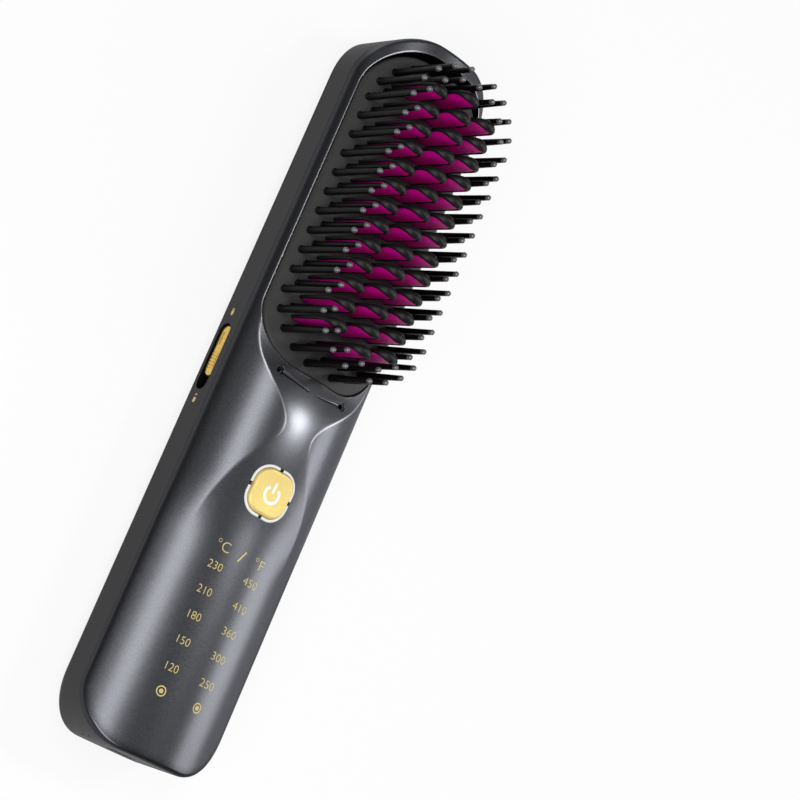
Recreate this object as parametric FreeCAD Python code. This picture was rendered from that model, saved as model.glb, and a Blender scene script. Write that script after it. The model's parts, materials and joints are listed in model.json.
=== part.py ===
import FreeCAD, Part
import math
import os

V = FreeCAD.Vector
os.makedirs("parts", exist_ok=True)

# Case, seen from the front with the head up: X across, Y to the head, Z out of the front
body_length = 208.0
body_width = 46.4
body_depth = 28.4
head_corner = 17.8
handle_corner = 14.0
wall = 2.0
skin = 1.8
crown_rise = 11.1
edge_round = 1.5
front_seam_drop = 1.1
front_seam_rise = 7.4
back_rise = 6.6
land_half = 7.0
back_seam_lift = 1.3
back_seam_rise = 5.5
head_round_radius = 14.0

# Comb plate and the opening that it stands in
plate_drop = 3.2
plate_crown_radius = 46.8
plate_skin = 2.2
plate_side_gap = 0.3
plate_low_corner = 14.6
plate_foot = 2.55
plate_head = 1.55
head_margin = 5.5
opening_gap = 0.5
rail = 1.7
rim_head = 3.7
ledge_width = 3.0
ledge_height = 1.6
seat_gap = 0.05

# Hourglass saddle: stations along the plate's lower edge, heights above the plate's crown
shoulder_lift = 15.8
vent_drop = 2.3
waist_drop = 15.5
button_drop = 32.8
fade_drop = 48.7
shoulder_rise = -0.6
shoulder_slope = -0.07
vent_rise = 1.36
waist_rise = 3.15
button_rise = 1.85
panel_rise = 1.2

# Pins
pitch = 5.85
outer_rows = 11
inner_rows = 10
arc_pins = 4
outer_arc_depth = 15.6
outer_arc_first = 20.0
outer_arc_step = 18.5
inner_arc_depth = 14.0
inner_arc_first = 21.9
inner_arc_step = 22.7
inner_arc_lead = 1.17
pin_edge = 3.2
pin_columns_apart = 2.7
pin_height = 16.7
pin_base_radius = 1.08
pin_tip_radius = 0.75
pin_point_radius = 0.3
pin_sides = 8
tip_follow = 0.35

# Heated fins and their arch caps
fin_side_rows = 13
fin_middle_rows = 14
cap_side_height = 15.6
cap_middle_height = 17.0
cap_pin_gap = 1.24
cap_gap = 0.56
cap_thickness = 2.4
cap_end_thickness = 1.2
cap_rim = 1.0
cap_shoulder = 5.2
arch_sides = 6
fin_thickness = 0.9
fin_gap = 0.1
slot_gap = 0.35

# Heater under the plate
base_lift = 1.2
base_thickness = 2.0
base_edge = 0.94
heater_width = 12.0
heater_thickness = 1.4
heater_end_gap = 3.1
cradle_wall = 1.8
cradle_floor = 1.6
cradle_pocket = 2.8
cradle_lip = 0.8
leg_radius = 2.4
leg_inset = 2.6
leg_end_inset = 9.1
sensor_radius = 0.6
sensor_length = 4.0
sensor_lift = 6.0
fuse_radius = 0.65
fuse_length = 9.0
fuse_drop = 20.0

# Power button and its light ring
button_half = 6.2
button_corner = 4.4
button_proud = 0.9
button_edge_round = 0.6
button_wall = 1.2
button_crown = 1.6
button_flange = 0.8
button_lap = 0.55
button_stroke = 0.8
button_gap = 0.25
button_floor_gap = 0.6
stem_radius = 1.5
ring_width = 0.6
ring_proud = 0.1
ring_flange = 1.5
ring_lift = 0.1
ring_notch = 0.9
ring_notch_depth = 0.5
ring_hole_gap = 0.1

# Lock slider in the left side of the band
slot_length = 19.6
slot_width = 4.8
slot_drop = 4.85
slot_lift = 3.1
knob_length = 15.0
knob_width = 4.2
knob_stroke = 3.9
knob_end_gap = 0.35
knob_sink = 0.45
rib_radius = 0.45
rib_pitch = 1.3
rib_count = 5
keeper_gap = 0.35
keeper_thickness = 1.0
keeper_overlap = 3.0
keeper_lap = 0.95
lever_length = 4.85
lever_width = 2.0
lever_height = 1.2
lever_lift = 1.9
lever_back = 1.8
lever_play = 0.3
switch_depth = 6.0
switch_wall = 1.0
switch_pocket = 2.1

# Boards
board_depth = 6.45
board_thickness = 1.2
board_margin = 5.7
board_head_gap = 1.7
board_foot = 7.9
screw_radius = 0.9
screw_head_radius = 2.0
screw_head = 1.3
screw_length = 2.8
screw_inset = 3.5
boss_radius = 2.2
boss_hole = 3.0
tact_half = 3.0
tact_height = 2.8
plunger_radius = 1.6
plunger_proud = 0.6
plunger_length = 2.2
plunger_play = 0.2
generator_length = 18.0
generator_width = 20.0
generator_top = 13.0
generator_foot = 6.0
generator_shift = 3.0

# Ion vents in the neck
vent_x = 11.3
vent_radius = 1.3
outlet_gap = 0.1
outlet_bore = 0.75
outlet_floor = 1.5
outlet_sink = 0.7
groove_radius = 0.75
groove_tip_radius = 0.2
groove_end_x = 1.8
groove_end_drop = 1.45

# Cells and their lamp strip
cell_gap = 0.3
cell_clearance = 1.4
cell_side_gap = 2.5
cell_foot = 13.5
cell_head_gap = 4.1
cradle_end = 1.0
cradle_drop = 3.0
spacer_lift = 4.0
spacer_inset = 3.0
lamp_stack = 3.0
strip_width = 11.0
strip_thickness = 1.0
strip_inset = 1.0
lamp_half = 1.0
lamp_height = 0.9
lamp_count = 5
tab_half = 3.0
tab_thickness = 0.3

# Charging inlet at the handle end
inlet_z = 11.0
inlet_width = 9.0
inlet_height = 3.2
inlet_depth = 7.3
inlet_sink = 0.6
inlet_wall = 0.35
inlet_floor = 1.0
inlet_gap = 0.25
tongue_sink = 1.2
tongue_width = 6.7
tongue_thickness = 0.7
charge_board_width = 17.0
charge_board_length = 9.0
charge_board_gap = 0.5
seat_radius = 1.8
charge_lamp_radius = 0.45
charge_lamp_length = 5.0
charge_lamp_sink = 0.1
charge_lamp_angle = 253.5
charge_lamp_heights = (11.2, 14.3)

# Places and fits that follow from the sizes above
half_length = body_length / 2
half_width = body_width / 2
reach = 2 * body_length
over_top = body_depth + 2 * wall
plate_half_width = half_width - wall - plate_side_gap
plate_high_corner = head_corner - (half_width - plate_half_width) - opening_gap
plate_top = body_depth - plate_drop
plate_axis_z = plate_top - plate_crown_radius
plate_high = half_length - head_margin
field_reach = (outer_rows - 1) / 2 * pitch + outer_arc_depth
field_y = plate_high - plate_head - field_reach
plate_low = field_y - field_reach - plate_foot
outer_column_x = plate_half_width - pin_edge
inner_column_x = outer_column_x - pin_columns_apart
inner_arc_start = (inner_rows - 1) / 2 * pitch + inner_arc_lead
cap_half_length = (inner_column_x - cap_pin_gap - cap_gap) / 3
fin_column_x = 2 * cap_half_length + cap_gap
fin_inset = cap_rim + fin_gap
fin_half = cap_half_length - fin_inset
crown_edge_z = body_depth - crown_rise
front_seam_edge = crown_edge_z - front_seam_drop
plate_seat = front_seam_edge
base_low = plate_seat + base_lift
base_high = base_low + base_thickness
base_half_width = fin_column_x + fin_half + base_edge
base_half_length = field_reach + plate_head - ledge_width - opening_gap - cradle_wall
cradle_corner = plate_low_corner - ledge_width - opening_gap
button_y = plate_low - button_drop
vent_y = plate_low - vent_drop
saddle_line = [
    (plate_low - fade_drop, panel_rise),
    (button_y, button_rise),
    (plate_low - waist_drop, waist_rise),
    (vent_y, vent_rise),
    (plate_low + shoulder_lift, shoulder_rise),
]
button_z = plate_top + button_rise
board_high = button_z - board_depth
board_low = board_high - board_thickness
board_half_width = half_width - wall - board_margin
board_foot_y = button_y - board_foot
board_head_y = plate_low - board_head_gap
plunger_top = board_high + tact_height + plunger_proud
button_low = board_high + button_stroke + button_floor_gap
ring_low = button_low + button_flange + ring_lift
ring_inner = button_gap
ring_outer = button_gap + ring_width
back_seam_edge = back_rise + back_seam_lift
slot_y = plate_low - slot_drop
slot_z = back_seam_edge + slot_lift
knob_y = slot_y + slot_length / 2 - knob_end_gap - knob_length / 2
keeper_x = half_width - wall - keeper_gap
keeper_inner_x = keeper_x - keeper_thickness
lever_y = knob_y - lever_back
switch_x = keeper_inner_x - lever_length + switch_pocket - 2 * lever_play
cell_low = skin + cell_clearance
strip_low = plate_top + panel_rise - skin - lamp_stack
cell_radius = min(strip_low - cell_low, half_width - wall - cell_side_gap) / 2
cell_x = cell_radius + cell_gap
cell_z = cell_low + cell_radius - 2 * seat_gap
cell_start = cell_foot - half_length
cell_end = board_foot_y - cell_head_gap
cell_length = cell_end - cell_start
charge_board_high = inlet_z - inlet_height / 2
charge_board_low = charge_board_high - board_thickness
charge_board_start = wall + charge_board_gap - half_length


def arc_radius(width, rise):
    """Radius of the arc that rises by that height over that half width."""
    return (width * width + rise * rise) / (2 * rise)


crown_radius = arc_radius(half_width, crown_rise)
crown_axis_z = body_depth - crown_radius
front_seam_radius = arc_radius(half_width, front_seam_rise)
front_seam_axis_z = front_seam_edge + front_seam_rise - front_seam_radius
back_seam_radius = arc_radius(half_width, back_seam_rise)
back_seam_axis_z = back_seam_edge - back_seam_rise + back_seam_radius
back_axis_z = ((half_width ** 2 - land_half ** 2) / back_rise + back_rise) / 2
back_radius = math.hypot(back_axis_z, land_half)


def bar(half, low, high, low_corner, high_corner, bottom, top):
    """Upright prism of a bar with straight sides and two pairs of round corners."""
    a, b, z = low_corner, high_corner, bottom
    lower = a * (1 - math.sqrt(0.5))
    upper = b * (1 - math.sqrt(0.5))
    edges = [
        Part.makeLine(V(half, low + a, z), V(half, high - b, z)),
        Part.Arc(V(half, high - b, z), V(half - upper, high - upper, z), V(half - b, high, z)).toShape(),
        Part.makeLine(V(half - b, high, z), V(b - half, high, z)),
        Part.Arc(V(b - half, high, z), V(upper - half, high - upper, z), V(-half, high - b, z)).toShape(),
        Part.makeLine(V(-half, high - b, z), V(-half, low + a, z)),
        Part.Arc(V(-half, low + a, z), V(lower - half, low + lower, z), V(a - half, low, z)).toShape(),
        Part.makeLine(V(a - half, low, z), V(half - a, low, z)),
        Part.Arc(V(half - a, low, z), V(half - lower, low + lower, z), V(half, low + a, z)).toShape(),
    ]
    return Part.Face(Part.Wire(edges)).extrude(V(0, 0, top - bottom))


def case_bar(inset, bottom, top):
    """The case outline, moved in by an even inset and raised to a prism."""
    return bar(half_width - inset, inset - half_length, half_length - inset,
               handle_corner - inset, head_corner - inset, bottom, top)


def plate_bar(inset, bottom, top):
    """The comb plate's outline, moved in by an even inset and raised to a prism."""
    return bar(plate_half_width - inset, plate_low + inset, plate_high - inset,
               plate_low_corner - inset, plate_high_corner - inset, bottom, top)


def base_bar(grow, bottom, top):
    """The heated base's outline, moved out by an even step and raised to a prism."""
    corner = cradle_corner - cradle_wall + grow
    return bar(base_half_width + grow, field_y - base_half_length - grow, field_y + base_half_length + grow,
               corner, corner, bottom, top)


def button_bar(grow, bottom, top):
    """The button's rounded square, moved out by an even step and raised to a prism."""
    half = button_half + grow
    corner = button_corner + grow
    return bar(half, button_y - half, button_y + half, corner, corner, bottom, top)


def long_cylinder(radius, axis_z):
    return Part.makeCylinder(radius, 2 * reach, V(0, -reach, axis_z), V(0, 1, 0))


def block(x0, x1, y0, y1, z0, z1):
    return Part.makeBox(x1 - x0, y1 - y0, z1 - z0, V(x0, y0, z0))


def post(radius, x, y, z0, z1):
    return Part.makeCylinder(radius, z1 - z0, V(x, y, z0))


def oval(length, width, y, z, x0, x1):
    """Prism along X whose section is a long oval in Y."""
    radius = width / 2
    run = length / 2 - radius
    body = block(x0, x1, y - run, y + run, z - radius, z + radius)
    for end in (y - run, y + run):
        body = body.fuse(Part.makeCylinder(radius, x1 - x0, V(x0, end, z), V(1, 0, 0)))
    return body.removeSplitter()


def head_round(inset):
    """Everything above the back and its large round at the head end, moved in by the inset."""
    end = half_length - inset
    radius = head_round_radius - inset
    start = end - radius
    bend = radius * math.sqrt(0.5)
    edges = [
        Part.makeLine(V(-reach, -reach, inset), V(-reach, start, inset)),
        Part.Arc(V(-reach, start, inset), V(-reach, start + bend, head_round_radius - bend),
                 V(-reach, end, head_round_radius)).toShape(),
        Part.makeLine(V(-reach, end, head_round_radius), V(-reach, end, reach)),
        Part.makeLine(V(-reach, end, reach), V(-reach, -reach, reach)),
        Part.makeLine(V(-reach, -reach, reach), V(-reach, -reach, inset)),
    ]
    return Part.Face(Part.Wire(edges)).extrude(V(2 * reach, 0, 0))


def saddle(inset):
    """Solid of revolution about the plate's long axis: it swells at the neck and is open at the head."""
    points = [V(0, y, plate_top + rise - inset) for y, rise in saddle_line]
    curve = Part.BSplineCurve()
    curve.interpolate(Points=points, InitialTangent=V(0, 1, 0), FinalTangent=V(0, 1, shoulder_slope))
    first, last = points[0], points[-1]
    over = body_depth + wall
    corners = [last, V(0, last.y, over), V(0, reach, over), V(0, reach, plate_axis_z),
               V(0, -reach, plate_axis_z), V(0, -reach, first.z), first]
    edges = [curve.toShape()]
    for start, end in zip(corners, corners[1:]):
        edges.append(Part.makeLine(start, end))
    turned = Part.Face(Part.Wire(edges)).revolve(V(0, 0, plate_axis_z), V(0, 1, 0), 360)
    turned.rotate(V(0, 0, plate_axis_z), V(0, 1, 0), 180)
    return turned


body_outer = case_bar(0, 0, over_top).common(head_round(0))
body_inner = case_bar(wall, 0, over_top).common(head_round(skin))
walls = body_outer.cut(body_inner)
front_seam = long_cylinder(front_seam_radius, front_seam_axis_z)
back_seam = long_cylinder(back_seam_radius, back_seam_axis_z)
under_front = long_cylinder(crown_radius - skin, crown_axis_z).common(saddle(skin))
above_back = long_cylinder(back_radius - skin, back_axis_z)
pin_ground = long_cylinder(plate_crown_radius + seat_gap, plate_axis_z)


def fitted(solid):
    """Trims an inner piece to the inside of the back lid, less the seat gap."""
    floor = long_cylinder(back_radius - skin - seat_gap, back_axis_z)
    return solid.common(floor).common(case_bar(wall + seat_gap, 0, reach)).common(head_round(skin + seat_gap))


def plate_arc_z(x, rise):
    """Height of the arc that lies that much above the plate's crown."""
    return plate_axis_z + math.sqrt((plate_crown_radius + rise) ** 2 - x * x)


def board_fixings():
    """Two screws beside the button and two half way to the head end of the board."""
    x = board_half_width - screw_inset
    low = board_foot_y + screw_inset
    return [(side * x, y) for side in (-1, 1) for y in (low, (low + board_head_y) / 2)]


def front_shell():
    """Crowned lid cut by the saddle, with the head opening, the button hole, vents and board bosses."""
    low = crown_edge_z - front_seam_rise
    crowned = case_bar(0, low, over_top).common(long_cylinder(crown_radius, crown_axis_z))
    rim = [edge for edge in crowned.Edges if edge.BoundBox.ZMin > low + edge_round and edge.Length > edge_round]
    over_panel = block(rail - half_width, half_width - rail, -half_length, half_length, 0, over_top).cut(saddle(0))
    shell = crowned.makeFillet(edge_round, rim).cut(over_panel)
    around = case_bar(-wall, 0, over_top).cut(body_inner)
    shell = shell.cut(body_inner.common(under_front)).cut(around.common(front_seam))
    shell = shell.cut(bar(half_width - rail, plate_low - opening_gap, half_length - rim_head,
                          plate_low_corner + opening_gap, head_corner - rail, 0, reach))
    shell = shell.cut(button_bar(ring_outer + ring_hole_gap, 0, reach))
    for side in (-1, 1):
        shell = shell.cut(post(vent_radius, side * vent_x, vent_y, board_high, reach))
        shell = shell.cut(vent_groove(side))
    for x, y in board_fixings():
        boss = post(boss_radius, x, y, board_high, body_depth).common(under_front)
        shell = shell.fuse(boss).cut(post(screw_radius + seat_gap, x, y, board_high, board_high + boss_hole))
    return shell.removeSplitter()


def vent_groove(side):
    """Tapered groove that runs from a vent towards the middle of the neck."""
    start = V(side * vent_x, vent_y, plate_arc_z(vent_x, vent_rise))
    end = V(side * groove_end_x, vent_y - groove_end_drop, plate_arc_z(groove_end_x, vent_rise))
    run = end - start
    return Part.makeCone(groove_radius, groove_tip_radius, run.Length, start, run)


def side_band():
    """Upright band between the lids, with the slider slot, the inlet, lamp holes and the plate ledge."""
    band = walls.common(front_seam).common(back_seam)
    ledge = plate_bar(-plate_side_gap - seat_gap, plate_seat - ledge_height, plate_seat)
    ledge = ledge.cut(plate_bar(ledge_width, 0, reach))
    tie = block(-plate_high_corner / 2, plate_high_corner / 2, plate_high, half_length - wall / 2,
                plate_seat - ledge_height, plate_seat)
    band = band.fuse(ledge).fuse(tie)
    band = band.cut(oval(slot_length, slot_width, slot_y, slot_z, -half_width - wall, 2 * wall - half_width))
    band = band.cut(end_oval(inlet_gap, -wall, 3 * wall))
    for lamp in charge_lamp_pins(charge_lamp_radius + seat_gap, wall):
        band = band.cut(lamp)
    return band.removeSplitter()


def end_oval(grow, start, length):
    """Oval prism on the inlet's axis, from a depth inside the handle end."""
    body = oval(inlet_width + 2 * grow, inlet_height + 2 * grow, 0, 0, 0, length)
    body.rotate(V(0, 0, 0), V(0, 0, 1), 90)
    body.translate(V(0, start - half_length, inlet_z))
    return body


def charge_lamp_pins(radius, proud):
    """Light pins square to the round corner at the handle end."""
    angle = math.radians(charge_lamp_angle)
    way = V(math.cos(angle), math.sin(angle), 0)
    light_pins = []
    for z in charge_lamp_heights:
        start = V(handle_corner - half_width, handle_corner - half_length, z)
        start = start + way * (handle_corner - charge_lamp_length)
        light_pins.append(Part.makeCylinder(radius, charge_lamp_length + proud, start, way))
    return light_pins


def back_shell():
    """Crowned back lid with a flat land to lie on and posts for the charge board."""
    lid = body_outer.common(long_cylinder(back_radius, back_axis_z))
    lid = lid.cut(back_seam.common(walls)).cut(body_inner.common(above_back))
    lid = lid.cut(block(-reach, reach, -reach, reach, head_round_radius - skin, reach))
    for side in (-1, 1):
        seat = post(seat_radius, side * charge_board_width / 3, charge_board_start + charge_board_length / 2,
                    0, charge_board_low)
        lid = lid.fuse(seat.common(body_inner).common(above_back))
    return lid.removeSplitter()


def comb_plate():
    """Crowned insert with a skirt, pierced by a slot for every fin."""
    plate = plate_bar(0, plate_seat, over_top).common(long_cylinder(plate_crown_radius, plate_axis_z))
    hollow = plate_bar(skin, plate_seat, over_top)
    plate = plate.cut(hollow.common(long_cylinder(plate_crown_radius - plate_skin, plate_axis_z)))
    half = fin_half + slot_gap
    thick = fin_thickness / 2 + slot_gap
    slots = [block(x - half, x + half, y - thick, y + thick, base_low, over_top) for x, y, rise in fin_places()]
    return plate.cut(Part.makeCompound(slots))


def fin_places():
    """Stations of the fins as (x, y, cap height): two side columns and a middle one set half a pitch off."""
    places = []
    for x in (-fin_column_x, fin_column_x):
        for row in range(fin_side_rows):
            places.append((x, field_y + pitch * (row - (fin_side_rows - 1) / 2), cap_side_height))
    for row in range(fin_middle_rows):
        places.append((0.0, field_y + pitch * (row - (fin_middle_rows - 1) / 2), cap_middle_height))
    return places


def upright_arch(inset, low, top, thickness):
    """Plate in the X-Z plane under a cap's half-oval arch, moved in by an even inset and centred on Y."""
    half = cap_half_length - inset
    shoulder = cap_shoulder - inset
    y = -thickness / 2
    turns = [math.pi * i / arch_sides for i in range(arch_sides + 1)]
    arch = [V(half * math.cos(turn), y, top - cap_shoulder + shoulder * math.sin(turn)) for turn in turns]
    foot = [V(-half, y, low), V(half, y, low)]
    return Part.Face(Part.makePolygon(foot + arch + foot[:1])).extrude(V(0, thickness, 0))


def leaf(bottom, top):
    """Leaf-shaped prism: widest in the middle, with straight flanks and blunt ends."""
    a = cap_half_length
    end = cap_end_thickness / 2
    mid = cap_thickness / 2
    points = [V(a, -end, bottom), V(a, end, bottom), V(a / 2, mid, bottom), V(-a / 2, mid, bottom),
              V(-a, end, bottom), V(-a, -end, bottom), V(-a / 2, -mid, bottom), V(a / 2, -mid, bottom),
              V(a, -end, bottom)]
    return Part.Face(Part.makePolygon(points)).extrude(V(0, 0, top - bottom))


def fin_caps():
    """Arch cap over every fin: its legs stand on the crowned plate."""
    caps = []
    for x, y, rise in fin_places():
        top = plate_top + rise
        arch = upright_arch(0, base_high, top, 2 * cap_thickness)
        window = upright_arch(cap_rim, 0, top, 3 * cap_thickness)
        cap = arch.cut(window).common(leaf(base_high, top + cap_rim))
        cap.translate(V(x, y, 0))
        caps.append(cap.cut(pin_ground))
    return Part.makeCompound(caps)


def heated_fins():
    """Thin fins that stand on the heated base and fill the caps."""
    fins = []
    for x, y, rise in fin_places():
        fin = upright_arch(fin_inset, base_high, plate_top + rise, fin_thickness)
        fin.translate(V(x, y, 0))
        fins.append(fin)
    return Part.makeCompound(fins)


def pin_columns(x, rows):
    return [(side * x, field_y + pitch * (row - (rows - 1) / 2)) for side in (-1, 1) for row in range(rows)]


def end_arc(x, start, depth, first, step):
    """Stations on elliptic arcs that close a pair of pin columns at both ends of the field."""
    places = []
    for i in range(arc_pins):
        angle = math.radians(first + step * i)
        across = x * math.cos(angle)
        sides = (-1, 1) if across > pin_base_radius else (1,)
        for side in sides:
            for end in (-1, 1):
                places.append((side * across, field_y + end * (start + depth * math.sin(angle))))
    return places


def polygon_ring(radius, x, y, z):
    turns = [2 * math.pi * (i + 0.5) / pin_sides for i in range(pin_sides)]
    corners = [V(x + radius * math.cos(turn), y + radius * math.sin(turn), z) for turn in turns]
    return Part.makePolygon(corners + corners[:1])


def pins(places):
    """Tapered pins with blunt points, standing on the crowned plate."""
    solids = []
    for x, y in places:
        tip = plate_top + pin_height + tip_follow * (plate_arc_z(x, 0) - plate_arc_z(outer_column_x, 0))
        rings = [polygon_ring(pin_base_radius, x, y, plate_seat),
                 polygon_ring(pin_tip_radius, x, y, tip - pin_tip_radius),
                 polygon_ring(pin_point_radius, x, y, tip)]
        solids.append(Part.makeLoft(rings, True, True).cut(pin_ground))
    return Part.makeCompound(solids)


def outer_pins():
    arc = end_arc(outer_column_x, field_reach - outer_arc_depth, outer_arc_depth, outer_arc_first, outer_arc_step)
    return pins(pin_columns(outer_column_x, outer_rows) + arc)


def inner_pins():
    arc = end_arc(inner_column_x, inner_arc_start, inner_arc_depth, inner_arc_first, inner_arc_step)
    return pins(pin_columns(inner_column_x, inner_rows) + arc)


def heat_base():
    return base_bar(0, base_low, base_high)


def heater_strip():
    half = base_half_length - heater_end_gap
    return block(-heater_width / 2, heater_width / 2, field_y - half, field_y + half,
                 base_low - heater_thickness, base_low)


def heat_cradle():
    """Insulating tray under the heated base, on four legs that stand on the back lid."""
    floor = base_low - cradle_pocket
    cradle = base_bar(cradle_wall, floor - cradle_floor, base_low)
    cradle = cradle.cut(base_bar(-cradle_lip, floor, base_low))
    for side in (-1, 1):
        for end in (-1, 1):
            leg = post(leg_radius, side * (base_half_width - leg_inset),
                       field_y + end * (base_half_length - leg_end_inset), 0, floor - cradle_floor / 2)
            cradle = cradle.fuse(fitted(leg))
    return cradle.removeSplitter()


def thermistor():
    place = V(0, field_y + sensor_lift, base_low - heater_thickness - sensor_radius)
    return Part.makeCylinder(sensor_radius, sensor_length, place, V(0, 1, 0))


def thermal_fuse():
    place = V(heater_width / 3, field_y - fuse_drop, base_low - heater_thickness - fuse_radius)
    return Part.makeCylinder(fuse_radius, fuse_length, place, V(0, 1, 0))


def power_button():
    """Hollow cap that follows the panel, with a retaining flange and a stem on the switch plunger."""
    cap = button_bar(0, button_low, reach).common(saddle(-button_proud))
    rim = [edge for edge in cap.Edges if edge.BoundBox.ZMin > ring_low]
    cap = cap.makeFillet(button_edge_round, rim)
    cap = cap.fuse(button_bar(ring_inner + button_lap, button_low, button_low + button_flange))
    cap = cap.cut(button_bar(-button_wall, 0, reach).common(saddle(button_crown - button_proud)))
    stem = post(stem_radius, 0, button_y, plunger_top, button_z)
    return cap.fuse(stem).removeSplitter()


def switch_plunger():
    return post(plunger_radius, 0, button_y, plunger_top - plunger_length, plunger_top)


def tact_switch():
    body = block(-tact_half, tact_half, button_y - tact_half, button_y + tact_half,
                 board_high, board_high + tact_height)
    floor = plunger_top - plunger_length - button_stroke - plunger_play
    return body.cut(post(plunger_radius + lever_play, 0, button_y, floor, reach))


def light_ring():
    """Notched light guide round the button, with a flange that bears under the lid."""
    ring = button_bar(ring_outer, ring_low, reach).common(saddle(-ring_proud))
    flange = button_bar(ring_outer + ring_flange, ring_low, reach).common(saddle(skin + seat_gap))
    ring = ring.fuse(flange).cut(button_bar(ring_inner, 0, reach))
    half = button_half + ring_outer
    notch = ring_notch / 2
    cross = block(-notch, notch, button_y - half, button_y + half, ring_low, reach)
    cross = cross.fuse(block(-half, half, button_y - notch, button_y + notch, ring_low, reach))
    return ring.cut(cross.cut(saddle(ring_notch_depth - ring_proud))).removeSplitter()


def lock_slider():
    """Ribbed oval knob with a keeper plate behind the band."""
    face = half_width - knob_sink
    knob = oval(knob_length, knob_width, knob_y, slot_z, -face, seat_gap - keeper_x)
    half = knob_length / 2 + keeper_overlap
    rise = slot_width / 2 + keeper_lap
    slider = knob.fuse(block(-keeper_x, -keeper_inner_x, knob_y - half, knob_y + half, slot_z - rise, slot_z + rise))
    run = knob_width - 4 * rib_radius
    for i in range(rib_count):
        place = V(-face, knob_y + rib_pitch * (i - (rib_count - 1) / 2), slot_z - run / 2)
        slider = slider.fuse(Part.makeCylinder(rib_radius, run, place))
    return slider.removeSplitter()


def switch_lever():
    low = slot_z + lever_lift
    return block(-keeper_inner_x, lever_length - keeper_inner_x, lever_y - lever_width / 2, lever_y + lever_width / 2,
                 low, low + lever_height)


def slide_switch():
    """Switch body under the board, with a pocket as long as the lever's way."""
    low = slot_z + lever_lift - lever_play
    start = lever_y - lever_width / 2 - lever_play - knob_stroke
    end = lever_y + lever_width / 2 + lever_play
    body = block(-switch_x, switch_depth - switch_x, start - switch_wall, end + switch_wall,
                 low - switch_wall / 2, board_low)
    pocket = block(-switch_x, switch_pocket - switch_x, start, end, low, low + lever_height + 2 * lever_play)
    return body.cut(pocket)


def main_board():
    board = block(-board_half_width, board_half_width, board_foot_y, board_head_y, board_low, board_high)
    for x, y in board_fixings():
        board = board.cut(post(screw_radius + 4 * seat_gap, x, y, 0, reach))
    return board


def board_screws():
    screws = []
    for x, y in board_fixings():
        head = post(screw_head_radius, x, y, board_low - screw_head, board_low)
        shank = post(screw_radius, x, y, board_low - screw_head / 2, board_high + screw_length)
        screws.append(head.fuse(shank).removeSplitter())
    return Part.makeCompound(screws)


def ion_generator():
    low = board_foot_y + generator_foot
    middle = generator_shift
    return fitted(block(middle - generator_width / 2, middle + generator_width / 2, low, low + generator_length,
                        0, generator_top))


def ion_outlets():
    tubes = []
    top = plate_arc_z(vent_x, vent_rise) - outlet_sink
    for side in (-1, 1):
        tube = post(vent_radius - outlet_gap, side * vent_x, vent_y, board_high, top)
        tubes.append(tube.cut(post(outlet_bore, side * vent_x, vent_y, board_high + outlet_floor, reach)))
    return Part.makeCompound(tubes)


def cell_rolls(extra):
    start = cell_start - extra
    run = cell_length + 2 * extra
    return [Part.makeCylinder(cell_radius + extra, run, V(side * cell_x, start, cell_z), V(0, 1, 0))
            for side in (-1, 1)]


def battery_cells():
    return Part.makeCompound(cell_rolls(0))


def battery_cradle():
    """Trough under the two cells, fitted to the inside of the back lid."""
    trough = block(-half_width, half_width, cell_start - cradle_end, cell_end + cradle_end, 0, cell_z - cradle_drop)
    return fitted(trough).cut(Part.makeCompound(cell_rolls(seat_gap)))


def cell_spacer():
    """Wedge that lies in the valley between the cells and carries the lamp strip."""
    wedge = block(-cell_x / 2, cell_x / 2, cell_start + spacer_inset, cell_end - spacer_inset,
                  cell_z + spacer_lift, strip_low)
    return wedge.cut(Part.makeCompound(cell_rolls(seat_gap)))


def lamp_strip():
    return block(-strip_width / 2, strip_width / 2, cell_start + strip_inset, cell_end - strip_inset,
                 strip_low, strip_low + strip_thickness)


def level_lamps():
    """One lamp behind each printed level, evenly spaced along the strip."""
    low = strip_low + strip_thickness
    step = (cell_length - 2 * strip_inset) / (lamp_count + 2)
    rows = [(cell_start + cell_end) / 2 + step * (i - (lamp_count - 1) / 2) for i in range(lamp_count)]
    return Part.makeCompound([block(-lamp_half, lamp_half, y - lamp_half, y + lamp_half, low, low + lamp_height)
                              for y in rows])


def cell_tabs():
    low, high = cell_z - tab_half, cell_z + tab_half
    tabs = [block(-cell_x - tab_half, cell_x + tab_half, cell_start - tab_thickness, cell_start, low, high)]
    for side in (-1, 1):
        x = side * cell_x
        tabs.append(block(x - tab_half, x + tab_half, cell_end, cell_end + tab_thickness, low, high))
    return Part.makeCompound(tabs)


def charge_board():
    return block(-charge_board_width / 2, charge_board_width / 2, charge_board_start,
                 charge_board_start + charge_board_length, charge_board_low, charge_board_high)


def charging_socket():
    """Oval metal sleeve with a contact tongue inside."""
    sleeve = end_oval(0, inlet_sink, inlet_depth).cut(end_oval(-inlet_wall, 0, inlet_sink + inlet_depth - inlet_floor))
    tongue = block(-tongue_width / 2, tongue_width / 2, inlet_sink + tongue_sink - half_length,
                   inlet_sink + inlet_depth - inlet_floor / 2 - half_length,
                   inlet_z - tongue_thickness / 2, inlet_z + tongue_thickness / 2)
    return sleeve.fuse(tongue).removeSplitter()


def charge_lamps():
    return Part.makeCompound(charge_lamp_pins(charge_lamp_radius, -charge_lamp_sink))


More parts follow.
